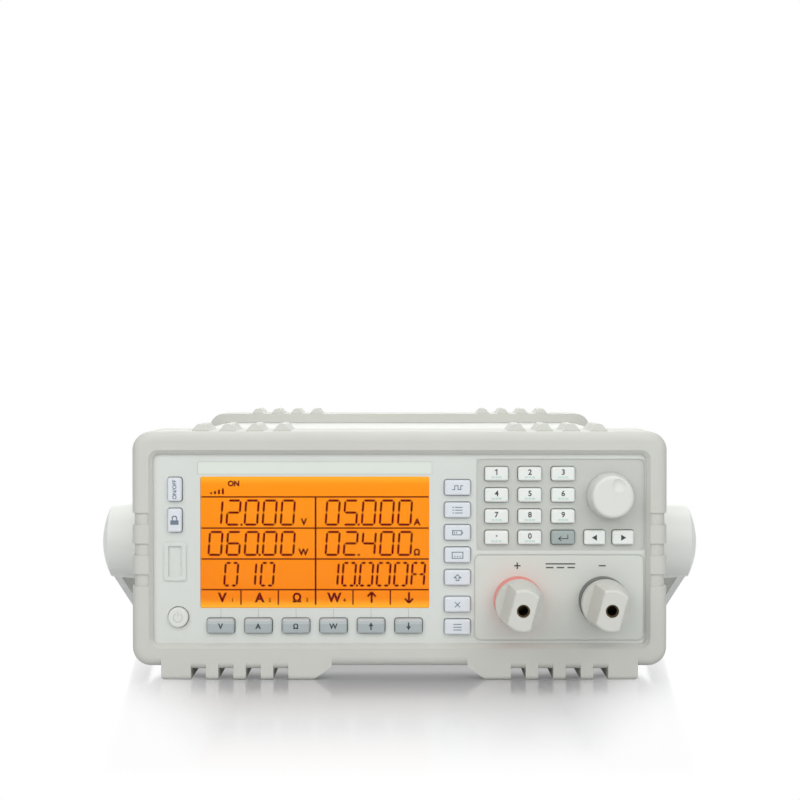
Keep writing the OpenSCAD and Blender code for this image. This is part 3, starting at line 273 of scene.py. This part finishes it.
def stroke(bm, start, end, width, face, thick=print_t, pointed=False):
    """A straight printed line on a face, from one (x, z) place to another, square or pointed."""
    start, end = Vector(start), Vector(end)
    along = (end - start).normalized() * width / 2
    side = along.orthogonal()
    if pointed:
        outline = [start, start + along + side, end - along + side, end, end - along - side,
                   start + along - side]
    else:
        outline = [start - side, start + side, end + side, end - side]
    plate(bm, outline, face, thick)


def lettering(bm, words, middle, height, face, turn=0.0, weight=0.0, thick=print_t):
    """Words in plain letters about an (x, z) place on a face, at that height over all."""
    curve = bpy.data.curves.new("lettering", "FONT")
    curve.body = words
    curve.offset = weight
    holder = bpy.data.objects.new("lettering", curve)
    letters = bpy.data.meshes.new_from_object(holder)
    low = [min(v.co[axis] for v in letters.vertices) for axis in (0, 1)]
    high = [max(v.co[axis] for v in letters.vertices) for axis in (0, 1)]
    centre = Vector(((low[0] + high[0]) / 2, (low[1] + high[1]) / 2, 0))
    letters.transform(Matrix.Translation((middle[0], face, middle[1])) @ Matrix.Rotation(-turn, 4, "Y")
                      @ Matrix.Rotation(math.pi / 2, 4, "X")
                      @ Matrix.Scale(height / (high[1] - low[1]), 4) @ Matrix.Translation(-centre))
    before = len(bm.faces)
    bm.from_mesh(letters)
    bm.faces.ensure_lookup_table()
    thicken(bm, bm.faces[before:], thick)
    bpy.data.meshes.remove(letters)
    bpy.data.objects.remove(holder)
    bpy.data.curves.remove(curve)


segments = {"0": "abcdef", "1": "bc", "2": "abdeg", "4": "bcfg", "5": "acdfg", "6": "acdefg", "A": "abcefg"}
digit_w = 5.4 * mm
slant = 0.075
segment_w = 0.95 * mm
segment_gap = 0.2 * mm
dot_gap = 1.1 * mm
dot_w = 0.9 * mm
module_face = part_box("display_module")[0].y
ink_t = 0.1 * mm


def on_lcd(right, down):
    """The (x, z) place that far from the display's top left corner."""
    return lcd_left + right, lcd_top - down


def reading(bm, digits, right, down, height, pitch, halves=False):
    """A row of seven-segment digits whose top left corner is that far into the display."""
    half = height / 2
    lines = {"a": (0, 0, digit_w, 0), "b": (digit_w, 0, digit_w, half),
             "c": (digit_w, half, digit_w, height), "d": (0, height, digit_w, height),
             "e": (0, half, 0, height), "f": (0, 0, 0, half), "g": (0, half, digit_w, half)}
    for character in digits:
        if character == ".":
            x, z = on_lcd(right - pitch + digit_w + dot_gap, down + height)
            block(bm, Vector((x, module_face - ink_t / 2, z)), (dot_w, ink_t, dot_w))
            continue
        for name in segments[character]:
            x0, y0, x1, y1 = lines[name]
            along = Vector((x1 - x0, y1 - y0)).normalized() * segment_gap
            first, last = Vector((x0, y0)) + along, Vector((x1, y1)) - along
            cuts = [(0, 1)]
            if halves and y0 == y1:
                cuts = [(0, 0.4), (0.6, 1)]
            for begin, finish in cuts:
                ends = [first.lerp(last, share) for share in (begin, finish)]
                places = [on_lcd(right + p.x + slant * (height - p.y), down + p.y) for p in ends]
                stroke(bm, *places, segment_w, module_face, ink_t, pointed=True)
        right += pitch


lcd_w = lcd_right - lcd_left
rule_w = 0.6 * mm
rule_inset = 0.05 * mm
divider_w = 0.75 * mm
band_downs = [8.9 * mm, 22.4 * mm, 35.8 * mm, 49.1 * mm]
cell_pitch = 16.16 * mm
first_cell = 0.9 * mm
cells_end = 55.6 * mm
ink = bmesh.new()
for down in band_downs:
    ends = on_lcd(rule_inset, down), on_lcd(lcd_w - rule_inset, down)
    stroke(ink, *ends, rule_w, module_face, ink_t)
for cell in range(1, 6):
    top = band_downs[0] if cell == 3 else band_downs[3]
    edge = first_cell + cell * cell_pitch
    width = divider_w if cell == 3 else rule_w
    stroke(ink, on_lcd(edge, top), on_lcd(edge, cells_end), width, module_face, ink_t)

digit_pitch = 7.82 * mm
last_pitch = 7.48 * mm
columns = (3.0 * mm, 53.7 * mm)
upper_rows = ((10.5 * mm, 10.4 * mm, ("12.000", "05.000")), (24.1 * mm, 9.9 * mm, ("060.00", "02.400")))
for down, digit_h, pair in upper_rows:
    for right, digits in zip(columns, pair):
        reading(ink, digits, right, down, digit_h, digit_pitch)
last_down = 37.5 * mm
last_h = 9.8 * mm
reading(ink, "010", 9.8 * mm, last_down, last_h, digit_pitch, halves=True)
reading(ink, "10.000A", 53.3 * mm, last_down, last_h, last_pitch, halves=True)

unit_h = 3 * mm
unit_weight = 0.045
for unit, right, down in (("V", 44.3, 19.7), ("A", 93.3, 19.7), ("W", 44.1, 32.8), ("Ω", 93.2, 32.8)):
    lettering(ink, unit, on_lcd(right * mm, down * mm), unit_h, module_face, thick=ink_t, weight=unit_weight)
lettering(ink, "ON", on_lcd(13.9 * mm, 3.1 * mm), 2.5 * mm, module_face, thick=ink_t, weight=0.05)
bar_foot = 7.7 * mm
bar_w = 0.9 * mm
for step in range(4):
    right = (4.2 + step * 1.7) * mm
    bar_h = (0.8 + step * 0.55) * mm
    stroke(ink, on_lcd(right, bar_foot), on_lcd(right, bar_foot - bar_h), bar_w, module_face, ink_t)


def cell_middle(cell):
    """The (x, z) middle of one of the six cells along the display's foot."""
    return on_lcd(first_cell + (cell + 0.5) * cell_pitch, 52.5 * mm)


cell_sign_h = 4.2 * mm
cell_number_h = 1.6 * mm
for cell, sign in enumerate(("V", "A", "Ω", "W")):
    x, z = cell_middle(cell)
    lettering(ink, sign, (x, z), cell_sign_h, module_face, thick=ink_t, weight=unit_weight)
    number = x + 4.4 * mm, z - 1.1 * mm
    lettering(ink, str(cell + 1), number, cell_number_h, module_face, thick=ink_t, weight=0.03)
arrow_h = 4.6 * mm
arrow_w = 0.9 * mm
wing_out = 0.38 * arrow_h
wing_drop = 0.4 * arrow_h
for cell, up in ((4, 1), (5, -1)):
    x, z = cell_middle(cell)
    tip = z + up * arrow_h / 2
    stroke(ink, (x, z - up * arrow_h / 2), (x, tip - up * 0.3 * arrow_w), arrow_w, module_face, ink_t)
    for side in (-1, 1):
        stroke(ink, (x + side * wing_out, tip - up * wing_drop), (x, tip), arrow_w, module_face, ink_t)
# The ink glows faintly dark red: painted light standing in for the backlight that shows through it.
ink_red = grained("ink_red", srgb(70, 8, 4), roughness=0.5, grain=0.5 * mm, depth=0.002 * mm, mottle=0.1)
fill(ink_red.node_tree, ink_red.node_tree.nodes["Principled BSDF"],
     {"Specular IOR Level": 0.0, "Emission Color": srgb(92, 10, 4), "Emission Strength": 1.0})
piece("display_ink", ink, ink_red, "case")

backlight, tree, shader = new_material("backlight")
height = mapped(tree, own_axes(tree)["Z"], lcd_foot, lcd_top, 0.0, 1.0)
glow = between(tree, height, srgb(243, 128, 14), srgb(254, 148, 12))
patches = spread(tree, noise(tree, 60 * mm, 0.0), 0.0, 0.25)
glow = between(tree, patches, glow, srgb(255, 154, 22))
rim_share = 0.07
rim = mapped(tree, maths(tree, "PINGPONG", height, 0.5), 0.0, rim_share, 0.8, 0.0, "SMOOTHSTEP")
glow = between(tree, rim, glow, srgb(255, 182, 50))
fill(tree, shader, {"Base Color": srgb(30, 12, 2), "Roughness": 0.4, "Specular IOR Level": 0.0,
                    "Emission Color": glow, "Emission Strength": 1.02})
dress(backlight, "display_module")

clear_acrylic, tree, shader = new_material("clear_acrylic")
haze = spread(tree, noise(tree, 20 * mm, 3.0), 0.0, 0.04)
fill(tree, shader, {"Base Color": (1, 1, 1, 1), "Transmission Weight": 1.0, "IOR": 1.15, "Roughness": haze})
dress(clear_acrylic, "display_window")


# Marks on the panels: thin lines from the display to the soft keys, and signs at the terminals and inlet.
# They are pad printed in grey ink straight onto the front moulding and the rear sheet.
def trace(bm, points, middle, face, width=0.35 * mm, thick=print_t):
    """A printed line through points given in millimetres about an (x, z) place."""
    places = [Vector((middle[0] + x * mm, middle[1] + z * mm)) for x, z in points]
    for start, end in zip(places, places[1:]):
        overlap = (end - start).normalized() * width / 2
        stroke(bm, start - overlap, end + overlap, width, face, thick)


def pad_ink(name, colour, mottle):
    """A thin matt ink."""
    return grained(name, colour, roughness=0.5, grain=0.3 * mm, depth=0.002 * mm, mottle=mottle)


mark_grey = pad_ink("mark_grey", srgb(84, 86, 84), 0.08)
line_grey = pad_ink("line_grey", srgb(176, 181, 176), 0.05)
soft_keys = ["soft_key_%d" % number for number in range(1, 7)]
guide_w = 0.22 * mm
guides = bmesh.new()
for name in soft_keys:
    low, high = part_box(name)
    x = (low.x + high.x) / 2
    stroke(guides, (x, lcd_foot - 0.4 * mm), (x, high.z - 0.7 * mm), guide_w, panel_face)
piece("guide_lines", guides, line_grey, "case")

signs = bmesh.new()
posts = {}
for side in ("positive", "negative"):
    low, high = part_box("post_base_" + side)
    posts[side] = (low.x + high.x) / 2
sign_z = panel_low.z + 35.8 * mm
sign_w = 0.6 * mm
for side, half in (("positive", 1.4 * mm), ("negative", 1.5 * mm)):
    x = posts[side] - 0.3 * mm
    stroke(signs, (x - half, sign_z), (x + half, sign_z), sign_w, panel_face)
    if side == "positive":
        stroke(signs, (x, sign_z - half), (x, sign_z + half), sign_w, panel_face)
middle = (posts["positive"] + posts["negative"]) / 2
direct_half = 6.4 * mm
dash_half = 1.6 * mm
line_z = sign_z + 0.8 * mm
dash_z = sign_z - 0.8 * mm
stroke(signs, (middle - direct_half, line_z), (middle + direct_half, line_z), sign_w, panel_face)
for dash in (-1, 0, 1):
    x = middle + dash * direct_half * 0.72
    stroke(signs, (x - dash_half, dash_z), (x + dash_half, dash_z), sign_w, panel_face)
piece("terminal_signs", signs, mark_grey, "case")

rear_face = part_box("rear_panel")[1].y
sense_low, sense_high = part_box("sense_terminals")
sense_z = (sense_low.z + sense_high.z) / 2
sense_gap = 3.6 * mm
plus = (sense_high.x + sense_gap, sense_z)
minus = (sense_low.x - sense_gap, sense_z)
mains = (inlet_high.x + 7 * mm, inlet_mid.z)
wave_rise = 1.3
wave = [(3 - step / 4, wave_rise * math.sin(math.pi * step / 12)) for step in range(25)]
rear_signs = bmesh.new()
for place in (plus, minus):
    trace(rear_signs, [(-1, 0), (1, 0)], place, rear_face, sign_w, -print_t)
trace(rear_signs, [(0, -1), (0, 1)], plus, rear_face, sign_w, -print_t)
trace(rear_signs, wave, mains, rear_face, sign_w, -print_t)
piece("rear_signs", rear_signs, mark_grey, "case")


# Keys: moulded caps on short stems, white, blue grey or off-white, held behind the panel by a ledge.
# Their digits, arrows and plain signs are pad printed on the faces.
def key_plastic(name, colour):
    """A satin plastic for keys."""
    return grained(name, colour, roughness=0.42, grain=0.25 * mm, depth=0.01 * mm, mottle=0.015)


def key_face(name):
    """The middle of a key's face as (x, z), and the depth of that face."""
    low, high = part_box(name)
    return ((low.x + high.x) / 2, (low.z + high.z) / 2), low.y


white_key = key_plastic("white_key", srgb(221, 227, 232))
blue_key = key_plastic("blue_key", srgb(161, 173, 170))
soft_key = key_plastic("soft_key", srgb(170, 179, 180))
# The soft keys' upper part is painted lighter in two steps: a painted highlight where their rounded top edge
# catches the light from above.
soft_low, soft_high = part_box("soft_key_1")
for share, tone in ((0.62, srgb(184, 192, 192)), (0.74, srgb(191, 193, 193))):
    highlight_foot = soft_low.z + share * (soft_high.z - soft_low.z)
    repaint(soft_key, (-1, highlight_foot), (1, soft_high.z), tone)
number_key = key_plastic("number_key", srgb(234, 238, 234))
ink_blue = pad_ink("ink_blue", srgb(112, 126, 142), 0.08)
ink_dark = pad_ink("ink_dark", srgb(48, 54, 56), 0.08)
ink_green = pad_ink("ink_green", srgb(200, 224, 213), 0.04)

side_signs = [
    [[(-2.2, -0.8), (-1.2, -0.8), (-1.2, 0.8), (0.2, 0.8), (0.2, -0.8), (1.4, -0.8), (1.4, 0.8),
      (2.2, 0.8)]],
    [[(-2.0, z), (-1.7, z)] for z in (-1.2, 0, 1.2)] + [[(-0.9, z), (2.0, z)] for z in (-1.2, 0, 1.2)],
    [[(-2.1, -0.9), (1.7, -0.9), (1.7, 0.9), (-2.1, 0.9), (-2.1, -0.9)], [(2.2, -0.3), (2.2, 0.3)],
     [(-1.3, -0.2), (-1.3, 0.2)], [(-0.4, -0.2), (-0.4, 0.2)]],
    [[(-2.3, -1.3), (2.3, -1.3), (2.3, 1.3), (-2.3, 1.3), (-2.3, -1.3)],
     [(-1.25, -0.5), (-1.05, -0.5)], [(-0.1, -0.5), (0.1, -0.5)], [(1.05, -0.5), (1.25, -0.5)]],
    [[(0, 1.3), (1.5, 0), (0.6, 0), (0.6, -1.2), (-0.6, -1.2), (-0.6, 0), (-1.5, 0), (0, 1.3)]],
    [[(-1.0, -1.0), (1.0, 1.0)], [(-1.0, 1.0), (1.0, -1.0)]],
    [[(-1.6, z), (1.6, z)] for z in (-1.2, 0, 1.2)],
]
for number, sign in enumerate(side_signs, 1):
    name = "side_key_%d" % number
    dress(white_key, name)
    middle, face = key_face(name)
    legend = bmesh.new()
    for line in sign:
        trace(legend, line, middle, face)
    piece(name + "_legend", legend, ink_blue, name)

letter_h = 2.4 * mm
soft_arrow = [(-0.3, -1.6), (0.3, -1.6), (0.3, 0), (1, 0), (0, 1.7), (-1, 0), (-0.3, 0)]
for name, sign in zip(soft_keys, ("V", "A", "Ω", "W", "up", "down")):
    dress(soft_key, name)
    middle, face = key_face(name)
    legend = bmesh.new()
    if sign in ("up", "down"):
        up = 1 if sign == "up" else -1
        plate(legend, [(middle[0] + x * mm, middle[1] + up * z * mm) for x, z in soft_arrow], face)
    else:
        lettering(legend, sign, middle, letter_h, face, weight=0.03)
    piece(name + "_legend", legend, ink_dark, name)

digit_weight = 0.02
digit_up = 0.75 * mm
point_up = 0.8 * mm
point_w = 0.6 * mm
second_down = 1.5 * mm
second_h = 0.85 * mm
second_words = ((-2.2, -0.9), (-0.6, 0.4), (0.7, 2.2))
for sign in ("1", "2", "3", "4", "5", "6", "7", "8", "9", "dot", "0"):
    name = "number_key_" + sign
    dress(number_key, name)
    (x, z), face = key_face(name)
    legend = bmesh.new()
    if sign == "dot":
        block(legend, Vector((x, face - print_t / 2, z + point_up)), (point_w, print_t, point_w))
    elif sign == "1":
        trace(legend, [(-0.55, 1.5), (0.1, 1.8), (0.1, -0.3)], (x, z), face, 0.42 * mm)
    elif sign == "9":
        lettering(legend, "6", (x, z + digit_up), letter_h, face, turn=math.pi, weight=digit_weight)
    else:
        lettering(legend, sign, (x, z + digit_up), letter_h, face, weight=digit_weight)
    piece(name + "_legend", legend, ink_dark, name)
    second = bmesh.new()
    second_z = z - second_down
    for first, last in second_words:
        stroke(second, (x + first * mm, second_z), (x + last * mm, second_z), second_h, face)
    piece(name + "_second_legend", second, ink_green, name)

dress(blue_key, "number_key_enter")
middle, face = key_face("number_key_enter")
legend = bmesh.new()
trace(legend, [(2.0, 1.1), (2.0, -0.4), (-1.9, -0.4)], middle, face)
trace(legend, [(-0.9, 0.5), (-1.9, -0.4), (-0.9, -1.3)], middle, face)
piece("number_key_enter_legend", legend, ink_dark, "number_key_enter")

triangle = [(-0.9, -1.3), (1.3, 0), (-0.9, 1.3)]
for name, points in (("arrow_key_left", -1), ("arrow_key_right", 1)):
    dress(number_key, name)
    (x, z), face = key_face(name)
    legend = bmesh.new()
    plate(legend, [(x + points * right * mm, z + up * mm) for right, up in triangle], face)
    piece(name + "_legend", legend, ink_dark, name)

dress(white_key, "output_key", "lock_key")
middle, face = key_face("output_key")
legend = bmesh.new()
lettering(legend, "ON/OFF", middle, 1.7 * mm, face, turn=math.pi / 2, weight=digit_weight)
piece("output_key_legend", legend, ink_blue, "output_key")
middle, face = key_face("lock_key")
legend = bmesh.new()
trace(legend, [(-0.8, -0.9), (0.8, -0.9)], middle, face, 1.9 * mm)
shackle = [(-0.9, 0.2), (-0.9, 1.3), (-0.5, 1.8), (0.5, 1.8), (0.9, 1.3), (0.9, 0.2)]
trace(legend, shackle, middle, face, 0.4 * mm)
piece("lock_key_legend", legend, ink_blue, "lock_key")

power_plastic = grained("power_plastic", srgb(222, 225, 219), roughness=0.4, grain=0.25 * mm,
                        depth=0.01 * mm, mottle=0.015)
dress(power_plastic, "power_button")
(x, z), face = key_face("power_button")
legend = bmesh.new()
ring_r = 1.9 * mm
ring_w = 0.4 * mm
ring_t = 0.05 * mm
open_angle = math.radians(60)
begin = math.pi / 2 + open_angle / 2
for radius in (ring_r - ring_w / 2, ring_r + ring_w / 2):
    legend.verts.new((x + radius * math.cos(begin), face - ring_t, z + radius * math.sin(begin)))
legend.edges.new(legend.verts[:])
bmesh.ops.spin(legend, geom=legend.verts[:] + legend.edges[:], cent=(x, face, z),
               axis=(0, -1, 0), angle=2 * math.pi - open_angle, steps=28, use_merge=False)
stroke(legend, (x, z + 0.6 * mm), (x, z + 2.5 * mm), ring_w, face)
mark_pale = pad_ink("mark_pale", srgb(198, 201, 196), 0.05)
piece("power_button_legend", legend, mark_pale, "power_button")


# Knob: a satin ABS cap pressed on the encoder's shaft, with a finger dimple near its edge.
# It is moulded in one piece with a rounded rim, and turns without a stop.
knob_plastic = grained("knob_plastic", srgb(220, 223, 217), roughness=0.4, grain=0.3 * mm,
                       depth=0.01 * mm, mottle=0.015)
dress(knob_plastic, "encoder_knob")


# Binding posts: coloured insulating bases, turned brass studs and inserts, and moulded grip caps.
# Each base is clamped by its stud's nut, and each cap screws down the stud on its insert.
base_red = grained("base_red", srgb(238, 134, 126), roughness=0.4, grain=0.3 * mm, depth=0.01 * mm,
                   mottle=0.04)
dress(base_red, "post_base_positive")
base_black = grained("base_black", srgb(92, 96, 94), roughness=0.4, grain=0.3 * mm, depth=0.01 * mm,
                     mottle=0.06)
dress(base_black, "post_base_negative")
turned_brass = grained("turned_brass", srgb(84, 72, 54), roughness=0.4, grain=0.2 * mm,
                       depth=0.005 * mm, mottle=0.1, metallic=1.0)
dress(turned_brass, "post_studs", "post_insert_positive", "post_insert_negative")
cap_plastic = grained("cap_plastic", srgb(208, 209, 202), roughness=0.38, grain=0.3 * mm,
                      depth=0.01 * mm, mottle=0.015)
dress(cap_plastic, "post_cap_positive", "post_cap_negative")


# Bumpers: two moulded rubber frames, matt and slightly mottled, stretched over the case's ends.
# Their feet stand on the bench, and their ridges take the feet of a unit stacked on top.
bumper_rubber = grained("bumper_rubber", srgb(204, 205, 198), roughness=0.62, grain=0.35 * mm,
                        depth=0.03 * mm, mottle=0.02)
dress(bumper_rubber, "front_bumper", "rear_bumper")


# Handle: two moulded arms that turn on hubs at the case's sides, joined by a rubber grip.
# The hubs are black nylon, held by a screw into the case, and the drums cover them.
arm_plastic = grained("arm_plastic", srgb(234, 237, 232), roughness=0.45, grain=0.35 * mm,
                      depth=0.02 * mm, mottle=0.02)
dress(arm_plastic, "handle_arms")
grip_rubber = grained("grip_rubber", srgb(80, 82, 82), roughness=0.65, grain=0.6 * mm, depth=0.05 * mm,
                      mottle=0.06)
dress(grip_rubber, "handle_grip")
hub_nylon = grained("hub_nylon", srgb(90, 92, 92), roughness=0.45, grain=0.4 * mm, depth=0.02 * mm,
                    mottle=0.06)
dress(hub_nylon, "handle_hubs")


# Studio: a plain white floor and backdrop, large soft lamps overhead, in front and behind.
# The camera stands level with the display, a little above the middle, as in the photograph.
def lamp(name, place, aim, size, power):
    """A square lamp of that size in metres and power in watts, turned towards its aim."""
    light = bpy.data.lights.new(name, "AREA")
    light.shape = "SQUARE"
    light.size = size
    light.energy = power
    stand = bpy.data.objects.new(name, light)
    stand.location = place
    stand.rotation_euler = (Vector(aim) - Vector(place)).to_track_quat("-Z", "Y").to_euler()
    bpy.context.scene.collection.objects.link(stand)


front_aim = (0, -0.15, 0.06)
lamp("overhead", place=(0, 0.2, 1.2), aim=(0, 0.05, 0), size=1.1, power=7.2)
lamp("front_left", place=(-0.6, -1.4, 0.8), aim=front_aim, size=1.2, power=8.8)
lamp("front_right", place=(0.6, -1.4, 0.8), aim=front_aim, size=1.2, power=8.8)
lamp("behind", place=(0, 1.6, 0.6), aim=(0, 0.19, 0.06), size=1.2, power=6.5)


def background_seen(tree):
    """1 for the rays that show the white background: straight, mirrored or through glass."""
    rays = tree.nodes.new("ShaderNodeLightPath").outputs
    straight = maths(tree, "MAXIMUM", rays["Is Camera Ray"], rays["Is Glossy Ray"])
    return maths(tree, "MAXIMUM", straight, rays["Is Transmission Ray"])


world_light = 0.3
world = bpy.data.worlds.new("studio")
bpy.context.scene.world = world
world.use_nodes = True
tree = world.node_tree
strength = mapped(tree, background_seen(tree), 0.0, 1.0, world_light, 1.0)
fill(tree, tree.nodes["Background"], {"Color": (1, 1, 1, 1), "Strength": strength})

floor_half = 12
floor_mesh = bmesh.new()
bmesh.ops.create_grid(floor_mesh, x_segments=1, y_segments=1, size=floor_half)
mesh = bpy.data.meshes.new("floor")
floor_mesh.to_mesh(mesh)
floor_mesh.free()
floor = bpy.data.objects.new("floor", mesh)
bpy.context.scene.collection.objects.link(floor)


def vector_step(tree, operation, value, amount=(0, 0, 0), output="Vector"):
    """One step of vector arithmetic in a material."""
    node = tree.nodes.new("ShaderNodeVectorMath")
    node.operation = operation
    fill(tree, node, {0: value, 1: amount})
    return node.outputs[output]


def eased(tree, value, start, end, most):
    """A soft rise from 0 at the start to the most at the end."""
    return mapped(tree, value, start, end, 0.0, most, "SMOOTHSTEP")


# The floor turns plain white away from the shadow, first at the sides, with distances in metres. Under the
# unit it is lifted part way to white, painted light in the unit's own shade that shows through the feet's
# notches.
white_floor, tree, shader = new_material("white_floor")
fill(tree, shader, {"Base Color": (0.66, 0.665, 0.685, 1), "Roughness": 0.12, "Specular IOR Level": 0.3})
shade_middle = (0, 0.016, 0)
shade_half = (0.1, 0.186, 0)
place = tree.nodes.new("ShaderNodeTexCoord")
centred = vector_step(tree, "SUBTRACT", place.outputs["Object"], shade_middle)
outside = vector_step(tree, "SUBTRACT", vector_step(tree, "ABSOLUTE", centred), shade_half)
reach = vector_step(tree, "LENGTH", vector_step(tree, "MAXIMUM", outside), output="Value")
past_side = vector_step(tree, "MAXIMUM", outside, (-1, 0, -1))
flank = vector_step(tree, "DOT_PRODUCT", past_side, (1, 0.4, 0), "Value")
axes = tree.nodes.new("ShaderNodeSeparateXYZ")
tree.links.new(outside, axes.inputs["Vector"])
blank_share = eased(tree, reach, 0.0, 0.19, 1.0)
# The last term lifts the floor under the unit towards white: painted light in its shade.
for value, start, end, most in ((flank, -0.035, 0.04, 0.95), (flank, 0.02, 0.08, 1.0),
                                (axes.outputs["Y"], 0.0, -0.03, 0.45)):
    blank_share = maths(tree, "MAXIMUM", blank_share, eased(tree, value, start, end, most))
blank = tree.nodes.new("ShaderNodeEmission")
mix = tree.nodes.new("ShaderNodeMixShader")
fill(tree, mix, {"Fac": maths(tree, "MULTIPLY", background_seen(tree), blank_share),
                 1: shader.outputs["BSDF"], 2: blank.outputs["Emission"]})
tree.links.new(mix.outputs["Shader"], tree.nodes["Material Output"].inputs["Surface"])
mesh.materials.append(white_floor)

bpy.context.scene.view_settings.view_transform = "Standard"
camera_tilt = math.radians(0.934)
view = bpy.data.cameras.new("camera")
view.sensor_width = 36
view.lens = 80.4
view.clip_end = 40
camera = bpy.data.objects.new("camera", view)
camera.location = (0.0002, -0.9316, 0.1327)
camera.rotation_euler = (math.radians(90) - camera_tilt, 0, 0)
bpy.context.scene.collection.objects.link(camera)
bpy.context.scene.camera = camera
